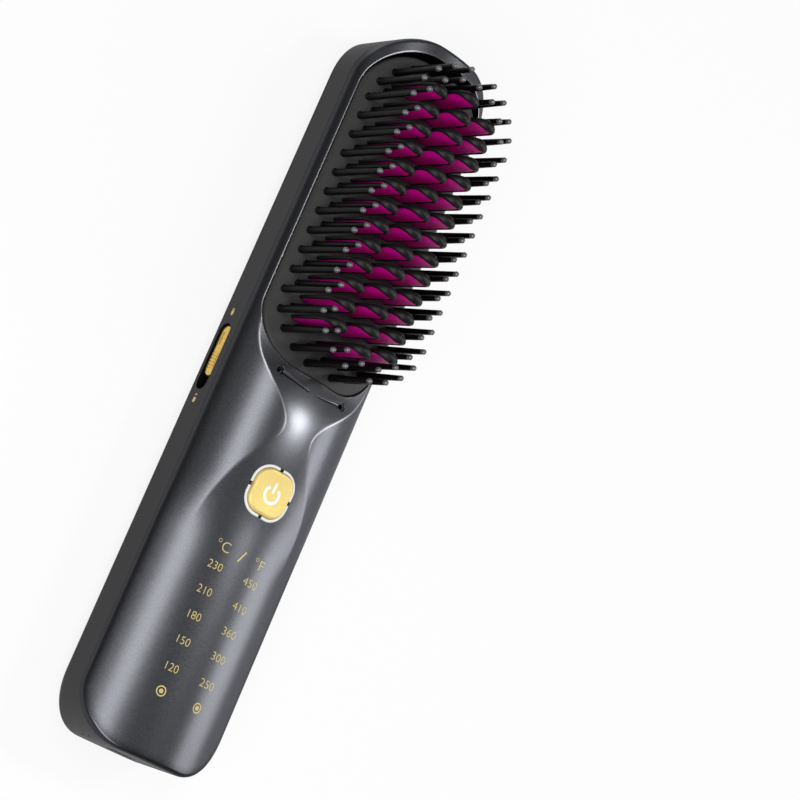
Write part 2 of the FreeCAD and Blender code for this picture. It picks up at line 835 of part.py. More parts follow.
nodes = {
    "front_shell": front_shell,
    "side_band": side_band,
    "back_shell": back_shell,
    "comb_plate": comb_plate,
    "outer_pins": outer_pins,
    "inner_pins": inner_pins,
    "heated_fins": heated_fins,
    "fin_caps": fin_caps,
    "heat_base": heat_base,
    "heater_strip": heater_strip,
    "heat_cradle": heat_cradle,
    "thermistor": thermistor,
    "thermal_fuse": thermal_fuse,
    "power_button": power_button,
    "switch_plunger": switch_plunger,
    "tact_switch": tact_switch,
    "light_ring": light_ring,
    "lock_slider": lock_slider,
    "switch_lever": switch_lever,
    "slide_switch": slide_switch,
    "main_board": main_board,
    "board_screws": board_screws,
    "ion_generator": ion_generator,
    "ion_outlets": ion_outlets,
    "battery_cells": battery_cells,
    "battery_cradle": battery_cradle,
    "cell_spacer": cell_spacer,
    "cell_tabs": cell_tabs,
    "lamp_strip": lamp_strip,
    "level_lamps": level_lamps,
    "charge_board": charge_board,
    "charging_socket": charging_socket,
    "charge_lamps": charge_lamps,
}
for name, make in nodes.items():
    make().exportStep("parts/" + name + ".step")
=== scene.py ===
import json
import math
from functools import partial
import bpy
import numpy as np
from mathutils import Matrix, Vector
from mathutils.geometry import delaunay_2d_cdt


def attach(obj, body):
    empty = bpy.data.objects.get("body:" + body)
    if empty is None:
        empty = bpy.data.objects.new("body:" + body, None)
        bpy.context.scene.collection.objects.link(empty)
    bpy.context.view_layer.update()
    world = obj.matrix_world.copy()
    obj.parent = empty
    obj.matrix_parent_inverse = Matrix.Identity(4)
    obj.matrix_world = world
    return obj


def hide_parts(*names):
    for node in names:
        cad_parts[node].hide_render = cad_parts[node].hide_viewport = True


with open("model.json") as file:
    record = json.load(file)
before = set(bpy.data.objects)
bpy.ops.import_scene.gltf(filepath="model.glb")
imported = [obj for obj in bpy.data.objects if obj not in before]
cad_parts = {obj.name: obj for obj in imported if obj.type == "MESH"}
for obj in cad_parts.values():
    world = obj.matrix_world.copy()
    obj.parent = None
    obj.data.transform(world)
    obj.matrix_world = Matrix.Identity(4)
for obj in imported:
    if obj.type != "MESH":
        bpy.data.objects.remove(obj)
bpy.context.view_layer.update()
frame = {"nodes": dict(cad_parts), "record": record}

mm = 0.001

# Sizes are in millimetres: X runs across the case, Y towards the head, Z out of the front.
# They are the solids' own, or close to them where the visual model is finer.
# A bar is a rounded outline: half width, low and high end, corner radius at the low and high end.

# Case: outline, axis height and radius of each round crown, and the large round under the head end
half_width, half_length = 23.2, 104.0
handle_corner, head_corner = 14.0, 17.8
case_bar = (half_width, -half_length, half_length, handle_corner, head_corner)
crown_axis, crown_radius = -1.395, 29.795
handle_axis, handle_radius = -7.7, 34.1
front_seam_axis, front_seam_radius = -16.37, 39.97
back_seam_axis, back_seam_radius = 54.08, 51.68
back_axis, back_radius = 40.36, 40.97
head_round_y, head_round = 90.0, 14.0

# Shade along the front's outer edge: its share, and how far in from the outline it starts and is full
edge_shade, shade_start, shade_full = 0.62, 3.0, 0.4

# Neck: stations along Y of its line's height above the plate's crown, the line's slope at both ends and its
# climb beyond the last station
panel_y = np.array([-44.0, -28.1, -19.5, -11.3, -4.0, 1.0, 4.2, 20.5])
panel_rise = np.array([1.2, 1.9, 2.66, 3.03, 2.6, 1.66, 0.95, -0.6])
first_slope, last_slope, head_climb = 0.0, -0.07, 0.6

# Vents beside the neck, and the tail of the groove that runs from each of them
vent, vent_radius = np.array([11.3, 2.4]), 1.3
groove_tail = np.array([1.8, 0.95])

# Controls: button with its slightly hollow face, hole of the light ring, and slot of the slider
button_y, button_half, button_corner = -28.1, 6.2, 4.4
button_rise, button_hollow = 0.9, 0.16
ring_half, ring_corner = 7.15, 5.35
ring_bar = (ring_half, button_y - ring_half, button_y + ring_half, ring_corner, ring_corner)
slot_y, slot_z, slot_length, slot_width = -0.15, 11.0, 19.6, 4.8

# Openings at the handle's end: charging inlet, and two lamp holes at an angle round the left corner
inlet_z, inlet_length, inlet_width = 11.0, 9.5, 3.7
lamp_heights, lamp_radius, lamp_turn = (11.2, 14.3), 0.5, math.radians(73.5)

# Comb head: crowned plate, opening round it, fins with their slots and caps
plate_axis, plate_radius = -21.6, 46.8
plate_bar = (20.9, 4.7, 98.5, 14.6, 15.0)
opening_bar = (21.6, 4.1, 100.4, 15.2, 16.2)
field_y, pitch = 52.1, 5.85
fin_x, side_rows, middle_rows = 9.36, 13, 14
fin_slot = np.array([3.65, 0.8])
cap_half, cap_shoulder = 4.4, 5.2
side_cap_top, middle_cap_top = 40.8, 42.2

# Pin rows: X of the columns, pins in each, start and depth of the end arcs, first angle and step on an arc
outer_x, inner_x, arc_pins = 17.7, 15.0, 4
outer_row = (outer_x, 11, 29.25, 15.6, 20.0, 18.5)
inner_row = (inner_x, 10, 27.495, 14.0, 21.9, 22.7)


def ease(t):
    """Smooth step from 0 to 1 as t goes from 0 to 1."""
    t = np.clip(t, 0, 1)
    return t * t * (3 - 2 * t)


def knot_slopes(x, y, first, last):
    """Slopes of the cubic that passes through the knots with even bends, for given slopes at its two ends."""
    h, d = np.diff(x), np.diff(y) / np.diff(x)
    n = len(x)
    rows, right = np.eye(n), np.zeros(n)
    right[0], right[-1] = first, last
    k = np.arange(1, n - 1)
    rows[k, k - 1], rows[k, k], rows[k, k + 1] = h[1:], 2 * (h[:-1] + h[1:]), h[:-1]
    right[1:-1] = 3 * (h[1:] * d[:-1] + h[:-1] * d[1:])
    return np.linalg.solve(rows, right)


panel_slope = knot_slopes(panel_y, panel_rise, first_slope, last_slope)


def saddle_rise(y):
    """Neck line's height over the plate's crown: a cubic through its stations, level before, rising after."""
    at = np.clip(y, panel_y[0], panel_y[-1])
    i = np.clip(np.searchsorted(panel_y, at, side="right") - 1, 0, len(panel_y) - 2)
    h = panel_y[i + 1] - panel_y[i]
    t = (at - panel_y[i]) / h
    low = panel_rise[i] * (1 + 2 * t) * (1 - t) ** 2 + h * panel_slope[i] * t * (1 - t) ** 2
    high = panel_rise[i + 1] * t * t * (3 - 2 * t) + h * panel_slope[i + 1] * t * t * (t - 1)
    return low + high + np.maximum(y - panel_y[-1], 0) * head_climb


def arc(x, axis, radius):
    """Height of a round crown of that radius about an axis along Y."""
    return axis + np.sqrt(radius ** 2 - np.minimum(np.abs(x), radius * 0.999) ** 2)


def groove_depth(x, y):
    """Depth of the grooves: a rounded trough along the line from each vent, thinner towards its tail."""
    vent_half, tail_half, deep, fullness = 0.8, 0.25, 0.75, 0.7
    px, py = np.abs(x) - vent[0], y - vent[1]
    way = groove_tail - vent
    t = np.clip((px * way[0] + py * way[1]) / (way @ way), 0, 1)
    half = vent_half + (tail_half - vent_half) * t
    off = np.hypot(px - t * way[0], py - t * way[1]) / half
    return deep * half * np.clip(1 - off * off, 0, 1) ** fullness


def crease_x(y):
    """Half width of the neck, where the crown and the saddle are equally high."""
    r, d = plate_radius + saddle_rise(y), crown_axis - plate_axis
    h = (r * r - crown_radius ** 2 - d * d) / (2 * d)
    return np.sqrt(np.maximum(crown_radius ** 2 - h * h, 0.0))


def front_z(x, y):
    """Front of the case: the lower of crown and saddle with a narrow round between them, which fades into an
    even arc on the handle."""
    soft, arc_start, arc_fade = 0.14, -29.0, 20.0
    crown = arc(x, crown_axis, crown_radius)
    saddle = arc(x, plate_axis, plate_radius + saddle_rise(y))
    share = np.clip(0.5 + 0.5 * (saddle - crown) / soft, 0, 1)
    folded = saddle + (crown - saddle) * share - soft * share * (1 - share)
    plain = arc(x, handle_axis, handle_radius)
    return folded + (plain - folded) * ease((arc_start - y) / arc_fade)


def panel_z(x, y):
    """Front of the case with the grooves cut into it."""
    return front_z(x, y) - groove_depth(x, y)


def edge_polish(x, y):
    """Share of painted highlight: a narrow bell about each crease of the neck, fading out at both its ends.
    """
    half, low, low_fade, high, high_fade = 0.24, -16.0, 7.0, 14.0, 6.0
    off = (np.abs(x) - crease_x(y)) / half
    return np.exp(-off * off) * ease((y - low) / low_fade) * ease((high - y) / high_fade)


def end_shade(x, y):
    """Share of shade round the handle's end: it grows over the last millimetres to the outline."""
    start, fade = -88.0, 6.0
    inset = -bar_distance(x, y, *case_bar)
    return edge_shade * ease((shade_start - inset) / (shade_start - shade_full)) * ease((start - y) / fade)


def relief(x, y):
    """Carved lozenges on the handle's back: two families of slanted waves, fading to the sides and ends."""
    across, along, sway, deep = 5.1, 12.2, 0.35, 0.6
    side, side_fade, low, high, end_fade = 15.8, 7.0, -79.0, 1.0, 24.0
    u = (x / across + y / along) * np.pi
    v = (x / across - y / along) * np.pi
    valley = 1 - np.abs(np.sin(u + sway * np.sin(v))) * np.abs(np.sin(v + sway * np.sin(u)))
    fade = ease((side - np.abs(x)) / side_fade) * ease((y - low) / end_fade) * ease((high - y) / end_fade)
    return deep * valley * fade


def back_z(x, y):
    """Back of the case: the higher of its crown, the flat land and the large round at the head end, with soft
    changes between them, and the lozenges carved in."""
    blend, blend_reach, land_soft, land_lift = 1.2, 4.0, 0.35, 0.4
    crown = back_axis - np.sqrt(back_radius ** 2 - np.minimum(np.abs(x), 40.0) ** 2)
    reach = np.clip(y - head_round_y, 0, head_round * 0.995)
    bend = head_round - np.sqrt(head_round ** 2 - reach ** 2)
    low = np.maximum(crown, 0.0) + np.maximum(0.0, land_soft - np.abs(crown)) ** 2 * land_lift
    share = np.clip(0.5 + 0.5 * (bend - low) / blend, 0, 1)
    soft = blend * share * (1 - share) * (y > head_round_y - blend_reach)
    return low + (bend - low) * share + soft + relief(x, y)


def front_seam(x):
    """Height of the line between the front lid and the band."""
    return arc(x, front_seam_axis, front_seam_radius)


def back_seam(x):
    """Height of the line between the back lid and the band."""
    return back_seam_axis - np.sqrt(back_seam_radius ** 2 - x ** 2)


def plate_z(x, y=0.0):
    """Crown of the comb plate, the same at every Y."""
    return arc(x, plate_axis, plate_radius)


def bar_path(half, low, high, low_corner, high_corner, step):
    """Points and outward normals round a bar, about one step apart."""
    a, b = low_corner, high_corner
    points, normals = [], []

    def run(start, end, normal):
        n = max(2, int(math.dist(start, end) / step))
        t = np.arange(n)[:, None] / n
        points.append(np.array(start) * (1 - t) + np.array(end) * t)
        normals.append(np.tile(normal, (n, 1)))

    def bend(x, y, radius, first):
        n = max(6, int(radius * math.pi / 2 / step))
        turn = np.radians(first + 90 * np.arange(n) / n)
        way = np.stack([np.cos(turn), np.sin(turn)], 1)
        points.append(np.array([x, y]) + radius * way)
        normals.append(way)

    run((half, low + a), (half, high - b), (1.0, 0.0))
    bend(half - b, high - b, b, 0)
    run((half - b, high), (b - half, high), (0.0, 1.0))
    bend(b - half, high - b, b, 90)
    run((-half, high - b), (-half, low + a), (-1.0, 0.0))
    bend(a - half, low + a, a, 180)
    run((a - half, low), (half - a, low), (0.0, -1.0))
    bend(half - a, low + a, a, 270)
    return np.concatenate(points), np.concatenate(normals)


def bar_distance(x, y, half, low, high, low_corner, high_corner):
    """Distance to a bar's outline, below zero inside."""
    mid, reach = (low + high) / 2, (high - low) / 2
    r = np.where(y > mid, high_corner, low_corner)
    qx, qy = np.abs(x) - half + r, np.abs(y - mid) - reach + r
    return np.minimum(np.maximum(qx, qy), 0) + np.hypot(np.maximum(qx, 0), np.maximum(qy, 0)) - r


def shrunk(bar, by):
    """A bar with its outline moved inwards."""
    half, low, high, low_corner, high_corner = bar
    return half - by, low + by, high - by, low_corner - by, high_corner - by


def circle(x, y, radius, count):
    """Points round a circle."""
    turn = 2 * np.pi * np.arange(count) / count
    return np.stack([x + radius * np.cos(turn), y + radius * np.sin(turn)], 1)


def oval_loop(x, y, length, width, count):
    """Points round an oval of two half circles and two straight runs."""
    turn = 2 * np.pi * (np.arange(count) + 0.5) / count
    run = np.sign(np.cos(turn)) * (length - width) / 2
    return np.stack([x + run + width / 2 * np.cos(turn), y + width / 2 * np.sin(turn)], 1)


def oval_reach(a, b, x, y, length, width):
    """Distance from the straight line along an oval's middle, which is half the width on its outline."""
    return np.hypot(np.maximum(np.abs(a - x) - (length - width) / 2, 0), b - y)


def in_loop(loop, x, y):
    """True where a point lies inside a closed loop: a line to the right crosses an odd number of sides."""
    inside = np.zeros(len(x), bool)
    for (ax, ay), (bx, by) in zip(loop, np.roll(loop, -1, 0)):
        if ay != by:
            inside ^= ((ay > y) != (by > y)) & (x < (bx - ax) * (y - ay) / (by - ay) + ax)
    return inside


def hex_points(x0, x1, y0, y1, step):
    """Points of a triangular lattice over a rectangle."""
    row = step * 0.866
    nx, ny = int((x1 - x0) / step) + 2, int((y1 - y0) / row) + 2
    j, i = np.mgrid[0:ny, 0:nx]
    return np.stack([(x0 + step * (i + 0.5 * (j % 2))).ravel(), (y0 + row * j).ravel()], 1)


def trimmed(points, loops, inside):
    """Flat points, and triangles over points and loops: those with their middle inside, turned one way."""
    edges, at = [], len(points)
    for loop in loops:
        k = np.arange(len(loop))
        edges.append(np.stack([at + k, at + (k + 1) % len(loop)], 1))
        at += len(loop)
    flat = [Vector(p) for p in np.concatenate([points] + list(loops)).tolist()]
    made = delaunay_2d_cdt(flat, np.concatenate(edges).tolist(), [], 0, 1e-5, False)
    flat = np.array([tuple(p) for p in made[0]])
    faces = np.array(made[2])
    (ax, ay), (bx, by), (cx, cy) = flat[faces].transpose(1, 2, 0)
    turn = (bx - ax) * (cy - ay) - (by - ay) * (cx - ax)
    faces = np.where((turn > 0)[:, None], faces, faces[:, ::-1])
    return flat, faces[inside(*flat[faces].mean(1).T)]


def raised(loop, z):
    """Flat points at a height, which is one number or one for each point."""
    return np.column_stack([loop, np.broadcast_to(z, len(loop))])


def bow(first, corner, last, count):
    """Points of the curved path that leaves the first point towards the corner and ends at the last."""
    t = np.linspace(0, 1, count)[:, None]
    first, corner, last = (np.asarray(p, float)[..., None, :] for p in (first, corner, last))
    return first * (1 - t) ** 2 + 2 * corner * t * (1 - t) + last * t * t


def loop_slope(height, loop, way):
    """Slope of a height field at a loop along the way of each point, measured from just behind the loop."""
    step = 0.1
    return (height(*loop.T) - height(*(loop - step * way).T)) / step


def height_normals(height, x, y):
    """Upward normals of a height field by central differences."""
    e = 0.03
    n = np.stack([height(x - e, y) - height(x + e, y), height(x, y - e) - height(x, y + e),
                  np.full(np.shape(x), 2 * e)], -1)
    return n / np.linalg.norm(n, axis=-1, keepdims=True)


def grid_part(grid, close_rows=True, close_columns=False, flip=False):
    """Points, quads and normals of one or many grids shaped (..., rows, columns, 3): the normal is the cross
    product of the differences along rows and columns."""
    g = np.asarray(grid, float)
    stack = g.reshape((-1,) + g.shape[-3:])
    count, rows, columns = stack.shape[:3]

    def difference(axis, closed):
        if closed:
            return np.roll(stack, -1, axis) - np.roll(stack, 1, axis)
        return np.gradient(stack, axis=axis)

    normal = np.cross(difference(1, close_rows), difference(2, close_columns))
    normal /= np.maximum(np.linalg.norm(normal, axis=-1, keepdims=True), 1e-12)
    r = np.arange(rows if close_rows else rows - 1)
    c = np.arange(columns if close_columns else columns - 1)
    r, c = np.meshgrid(r, c, indexing="ij")
    r2, c2 = (r + 1) % rows, (c + 1) % columns
    quads = [r * columns + c, r2 * columns + c, r2 * columns + c2, r * columns + c2]
    quads = np.stack(quads, -1).reshape(-1, 4)
    quads = (quads[None] + (np.arange(count) * rows * columns)[:, None, None]).reshape(-1, 4)
    if flip:
        quads, normal = quads[:, ::-1], -normal
    return stack.reshape(-1, 3), quads, normal.reshape(-1, 3)


def tube_part(grid, flip=False):
    """Part of a grid whose rows run along a tube and whose columns close round it."""
    return grid_part(grid, close_rows=False, close_columns=True, flip=flip)


def field_part(flat, faces, height, under=False):
    """Points, triangles and normals of a height field, facing up, or down for an underside."""
    normal = height_normals(height, *flat.T)
    if under:
        faces, normal = faces[:, ::-1], -normal
    return raised(flat, height(*flat.T)), faces, normal


def piece(name, parts, finish, node=None, body="case", smooth=True):
    """One object from parts of (points in mm, faces, normals or None). In a list of finishes, the last one
    goes to all further parts."""
    finishes = finish if isinstance(finish, list) else [finish]
    points, faces, normals, marks, at = [], [], [], [], 0
    for i, (p, f, n) in enumerate(parts):
        points.append(p)
        faces.extend((np.asarray(f) + at).tolist())
        normals.append(n if n is not None else np.zeros_like(p))
        marks.append(np.full(len(f), min(i, len(finishes) - 1)))
        at += len(p)
    mesh = bpy.data.meshes.new(name)
    mesh.from_pydata((np.concatenate(points) * mm).tolist(), [], faces)
    for f in finishes:
        mesh.materials.append(f)
    mesh.polygons.foreach_set("material_index", np.concatenate(marks).astype(np.int32))
    mesh.polygons.foreach_set("use_smooth", np.full(len(mesh.polygons), smooth))
    mesh.validate()
    mesh.update()
    if smooth and all(n is not None for p, f, n in parts):
        mesh.normals_split_custom_set_from_vertices(np.concatenate(normals).tolist())
    made = bpy.data.objects.new(name, mesh)
    bpy.context.scene.collection.objects.link(made)
    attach(made, body)
    if node:
        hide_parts(node)
    return made


def mesh_points(mesh):
    """Points of a mesh as rows of X, Y and Z."""
    at = np.zeros(len(mesh.vertices) * 3)
    mesh.vertices.foreach_get("co", at)
    return at.reshape(-1, 3)


def paint(made, name, share):
    """Keeps a share, worked out from X and Y in mm, on a piece's points, where a finish reads it by name."""
    layer = made.data.attributes.new(name, "FLOAT", "POINT")
    layer.data.foreach_set("value", share(*mesh_points(made.data).T[:2] / mm))


class Value:
    """A shader socket whose maths is written as Python expressions: each adds a Math node."""

    def __init__(self, tree, socket):
        self.tree, self.socket = tree, socket

    def math(self, operation, *parts):
        node = self.tree.nodes.new("ShaderNodeMath")
        node.operation = operation
        for put, part in zip(node.inputs, parts):
            if isinstance(part, Value):
                self.tree.links.new(part.socket, put)
            else:
                put.default_value = part
        return Value(self.tree, node.outputs[0])

    def __add__(self, other):
        return self.math("ADD", self, other)

    def __mul__(self, other):
        return self.math("MULTIPLY", self, other)

    __radd__, __rmul__ = __add__, __mul__


class Finish:
    """A node material: node() adds any shader node, set() fills the main shader's sockets."""

    def __init__(self, name):
        self.material = bpy.data.materials.new(name)
        self.material.use_nodes = True
        self.tree = self.material.node_tree
        self.shader = self.tree.nodes["Principled BSDF"]
        self.place = self.node("TexCoord", out="Object")

    def node(self, kind, settings=None, sockets=None, out=0):
        made = self.tree.nodes.new("ShaderNode" + kind)
        for key, value in (settings or {}).items():
            setattr(made, key, value)
        for key, value in (sockets or {}).items():
            self.put(made.inputs[key], value)
        return Value(self.tree, made.outputs[out])

    def put(self, socket, value):
        if isinstance(value, Value):
            self.tree.links.new(value.socket, socket)
        else:
            socket.default_value = value

    def set(self, **sockets):
        for key, value in sockets.items():
            self.put(self.shader.inputs[key.replace("_", " ")], value)

    def noise(self, scale, detail=2.0, rough=0.5):
        sockets = {"Vector": self.place, "Scale": scale, "Detail": detail, "Roughness": rough}
        return self.node("TexNoise", None, sockets, "Fac")

    def cells(self, scale):
        colour = self.node("TexVoronoi", None, {"Vector": self.place, "Scale": scale}, "Color")
        return self.node("SeparateColor", None, {"Color": colour}, "Red")

    def painted(self, name):
        return self.node("Attribute", {"attribute_name": name}, None, "Fac")

    def mix(self, factor, first, second):
        return self.node("Mix", {"data_type": "RGBA"}, {0: factor, 6: first, 7: second}, 2)

    def bump(self, height, strength, distance):
        return self.node("Bump", None, {"Height": height, "Strength": strength, "Distance": distance})


def tone(red, green, blue):
    """Colour given as screen values from 0 to 255."""
    c = np.array([red, green, blue]) / 255
    c = np.where(c < 0.04045, c / 12.92, ((c + 0.055) / 1.055) ** 2.4)
    return (*c.tolist(), 1.0)


def graphite_finish(name, dark, light, rough, edge=edge_shade):
    """Metallic lacquer with flakes and grain: painted shade along both long edges and where end_shade is
    painted on the piece, and a painted highlight where the piece carries one."""
    f = Finish(name)
    flake = f.cells(5200.0)
    grain = f.noise(2600.0, 3.0)
    across = f.node("SeparateXYZ", None, {"Vector": f.place}, "X")
    # Painted shade: the lacquer darkens towards a near-black tone close to both long edges
    start, full = (half_width - shade_start) * mm, (half_width - shade_full) * mm
    sockets = {"Value": across.math("ABSOLUTE", across), "From Min": start, "From Max": full, "To Max": edge}
    near_edge = f.node("MapRange", {"interpolation_type": "SMOOTHSTEP"}, sockets)
    shade = near_edge.math("MAXIMUM", near_edge, f.painted("end_shade"))
    lacquer = f.mix(flake * 0.6 + grain * 0.4, tone(*dark), tone(*light))
    # Lighter tone where the piece carries its share: a painted highlight along the neck's creases
    highlighted_lacquer = f.mix(f.painted("painted_highlight") * 0.85, lacquer, tone(196, 196, 200))
    f.set(Base_Color=f.mix(shade, highlighted_lacquer, tone(26, 26, 28)), Metallic=0.95, Specular_Tint=tone(180, 180, 182),
          Roughness=rough - 0.02 + flake * 0.03 + grain * 0.02, Normal=f.bump(grain, 0.04, 0.00003))
    return f.material


def plastic(name, dark, light, rough, scale=900.0, spec=0.5):
    """Moulded plastic: a fine grain in colour, gloss and slope over a slow cloud."""
    f = Finish(name)
    grain = f.noise(scale, 4.0, 0.6)
    cloud = f.noise(60.0, 2.0)
    f.set(Base_Color=f.mix(grain * 0.7 + cloud * 0.3, tone(*dark), tone(*light)), Specular_IOR_Level=spec,
          Roughness=rough - 0.07 + grain * 0.14, Normal=f.bump(grain, 0.08, 0.00006))
    return f.material


def metal_finish(name, dark, light, rough, metal=1.0):
    """Satin metal: a fine grain in colour, gloss and slope."""
    f = Finish(name)
    grain = f.noise(1500.0, 4.0, 0.6)
    f.set(Base_Color=f.mix(grain, tone(*dark), tone(*light)), Metallic=metal,
          Roughness=rough - 0.06 + grain * 0.12, Normal=f.bump(grain, 0.05, 0.00003))
    return f.material


# Finishes: darkest and lightest tone, roughness, and what sets one apart
graphite = graphite_finish("graphite_lacquer", (84, 85, 89), (107, 108, 113), 0.29)
# Lighter lacquer with no edge shade for the opening's lip: a painted highlight along the rim
graphite_highlight_lip = graphite_finish("graphite_lacquer_highlight_lip", (113, 113, 116), (135, 135, 138), 0.24, edge=0.0)
graphite_back = graphite_finish("graphite_lacquer_back", (87, 87, 90), (109, 109, 113), 0.33)
band_dark = plastic("band_matte_plastic", (34, 34, 36), (50, 50, 52), 0.55, spec=0.22)
plate_grey = plastic("plate_dark_plastic", (40, 40, 40), (55, 55, 54), 0.55, spec=0.25)
pin_black = plastic("pin_black_plastic", (6, 6, 6), (13, 13, 13), 0.37, spec=0.1)
tip_grey = metal_finish("pin_tip_metal", (98, 98, 100), (122, 122, 124), 0.36, metal=0.6)
cap_black = plastic("cap_black_plastic", (8, 9, 8), (17, 18, 17), 0.46, spec=0.24)
magenta = plastic("magenta_fin_coat", (204, 0, 146), (222, 6, 160), 0.45, scale=700.0, spec=0.3)
gold = metal_finish("satin_gold", (200, 158, 66), (238, 204, 114), 0.27, metal=0.85)
button_gold = metal_finish("button_gold", (220, 194, 110), (234, 212, 134), 0.46, metal=0.3)
gold_print = plastic("gold_print", (186, 168, 104), (208, 192, 128), 0.45, spec=0.3)
white_guide = plastic("white_light_guide", (206, 206, 204), (226, 226, 224), 0.4, spec=0.3)
white_mark = plastic("white_print", (240, 240, 236), (250, 250, 248), 0.5, spec=0.3)
ceramic = plastic("ceramic_white", (212, 208, 198), (228, 226, 218), 0.6)
insulation = plastic("insulation_board", (132, 104, 74), (158, 128, 94), 0.7)
steel = metal_finish("plated_steel", (150, 150, 152), (182, 182, 186), 0.32)
board_green = plastic("board_lacquer", (18, 74, 48), (30, 96, 64), 0.4)
switch_black = plastic("switch_plastic", (16, 16, 17), (30, 30, 32), 0.45, spec=0.35)
cell_wrap = plastic("cell_sleeve", (38, 84, 140), (52, 104, 164), 0.35)
unlit_lens = plastic("unlit_lamp_lens", (6, 6, 7), (13, 13, 14), 0.4, spec=0.2)

# The solids carried over from the frame take the finish of their slot, and the charge lamps a dark lens
slot_finish = {
    "graphite_shell": graphite, "dark_band": band_dark, "comb_grey": plate_grey, "comb_black": pin_black,
    "magenta_coat": magenta, "ceramic": ceramic, "insulation": insulation, "gold": gold, "steel": steel,
    "light_guide": white_guide, "board": board_green, "switch_black": switch_black, "cell_wrap": cell_wrap}
node_finish = {"charge_lamps": unlit_lens}
for entry in frame["record"]["subparts"]:
    node = frame["nodes"][entry["node"]]
    node.data.materials.clear()
    node.data.materials.append(node_finish.get(entry["node"], slot_finish[entry["material_slot"]]))


def front_points(inside):
    """Points over the front lid: a lattice, rows along both creases, and a fine lattice in the grooves."""
    low, high, beside, around_groove = -70.0, 20.0, 1.1, 0.2
    across = np.array([-1.0, -0.6, -0.36, -0.22, -0.1, 0.0, 0.1, 0.22, 0.36, 0.6, 1.0])
    along = np.arange(low, high, 0.35)
    rows = np.stack([(crease_x(along)[:, None] + across).ravel(), np.repeat(along, len(across))], 1)
    rows = np.concatenate([rows, rows * [-1, 1]])
    fine = hex_points(-13.0, 13.0, -0.6, 4.2, 0.17)
    depths = [groove_depth(fine[:, 0], fine[:, 1] + shift) for shift in (-around_groove, 0.0, around_groove)]
    fine = fine[np.max(depths, 0) > 0]
    lattice = hex_points(-half_width, half_width, -half_length, half_length, 1.1)
    x, y = lattice.T
    by_crease = (np.abs(np.abs(x) - crease_x(y)) <= beside) & (y >= low) & (y <= high)
    lattice = lattice[~by_crease & (groove_depth(x, y) == 0)]
    sets = ((lattice, 0.5), (rows, 0.3), (fine, 0.12))
    return np.concatenate([points[inside(*points.T, gap)] for points, gap in sets])


def front_shell():
    """Front lid: a height field less its openings, with a rounded edge and a wall in every opening."""
    edge, edge_drop, least_wall, lip_round, lip_deep = 1.2, 1.7, 0.25, 0.12, 0.5
    rim, rim_out = bar_path(*case_bar, 0.9)
    start = rim - edge * rim_out
    opening, opening_out = bar_path(*opening_bar, 0.7)
    ring, ring_out = bar_path(*ring_bar, 0.45)
    vents = [circle(side * vent[0], vent[1], vent_radius, 36) for side in (-1, 1)]

    def inside(x, y, gap=0.0):
        keep = bar_distance(x, y, *shrunk(case_bar, edge)) < -gap
        keep &= bar_distance(x, y, *opening_bar) > gap
        keep &= bar_distance(x, y, *ring_bar) > gap
        return keep & (np.hypot(np.abs(x) - vent[0], y - vent[1]) > vent_radius + gap * 0.3)

    flat, faces = trimmed(front_points(inside), [start, opening, ring] + vents, inside)
    top = field_part(flat, faces, panel_z)
    z = front_z(*start.T)
    corner = z + loop_slope(front_z, start, rim_out) * edge
    seam = front_seam(rim[:, 0])
    low = np.maximum(corner - edge_drop, seam + least_wall)
    bottom = raised(rim, seam + lip_round)
    shoulder = bow(raised(start, z), raised(rim, corner), raised(rim, low), 12)
    down = bow(raised(rim, low), raised(rim, (low + seam) / 2), bottom, 4)
    lip = bow(bottom, raised(rim, seam), raised(rim - lip_deep * rim_out, seam), 5)
    edge_part = grid_part(np.concatenate([shoulder, down[:, 1:], lip[:, 1:]], 1), flip=True)
    walls = [inner_wall(opening, -opening_out, round_size=0.08, floor=16.3, lip_size=0.42),
             inner_wall(ring, -ring_out, round_size=0.15, floor=24.0)]
    walls += [inner_wall(v, (v.mean(0) - v) / vent_radius, round_size=0.1, floor=22.0) for v in vents]
    return [top, edge_part] + [lip for lip, drop in walls] + [drop for lip, drop in walls]


def inner_wall(loop, inward, round_size, floor, lip_size=0.0):
    """Wall of an opening: a lip that levels out from the panel, a small round and a straight drop."""
    z = panel_z(*loop.T)
    inner = loop + inward * lip_size
    slope = loop_slope(panel_z, loop, inward)
    halfway = z + slope * lip_size / 2
    level = halfway + np.minimum(slope, 0) * lip_size / 2
    wall, foot = inner + inward * round_size, level - round_size
    lip = bow(raised(inner, level), raised(wall, level), raised(wall, foot), 5)
    if lip_size:
        rise = bow(raised(loop, z), raised(loop + inward * lip_size / 2, halfway), lip[:, 0], 8)
        lip = np.concatenate([rise, lip[:, 1:]], 1)
    drop = np.stack([raised(wall, foot + (floor - foot) * share) for share in np.linspace(0, 1, 5)], 1)
    return grid_part(lip), grid_part(drop)


def head_limit(z):
    """Largest Y of the case at a height: the round of the head end below its centre, straight above."""
    down = np.clip(head_round - z, 0, head_round)
    return head_round_y + np.sqrt(head_round ** 2 - down ** 2)


def band_path():
    """The case's outline as lengths along it, points and outward normals, closed by its first point."""
    points, out = bar_path(*case_bar, 0.6)
    points, out = np.vstack([points, points[:1]]), np.vstack([out, out[:1]])
    steps = np.linalg.norm(np.diff(points, axis=0), axis=1)
    return np.concatenate([[0], np.cumsum(steps)]), points, out


def band_point(path, s, z):
    """Point of the upright band at a length along the outline and a height, held inside the head's round."""
    length, points, out = path
    x, y = np.interp(s, length, points[:, 0]), np.interp(s, length, points[:, 1])
    return np.stack([x, np.minimum(y, head_limit(z)), z], -1)


def band_normal(path, s):
    """Outward normal of the upright band at a length along the outline."""
    length, points, out = path
    return np.stack([np.interp(s, length, out[:, 0]), np.interp(s, length, out[:, 1]), 0 * s], 1)


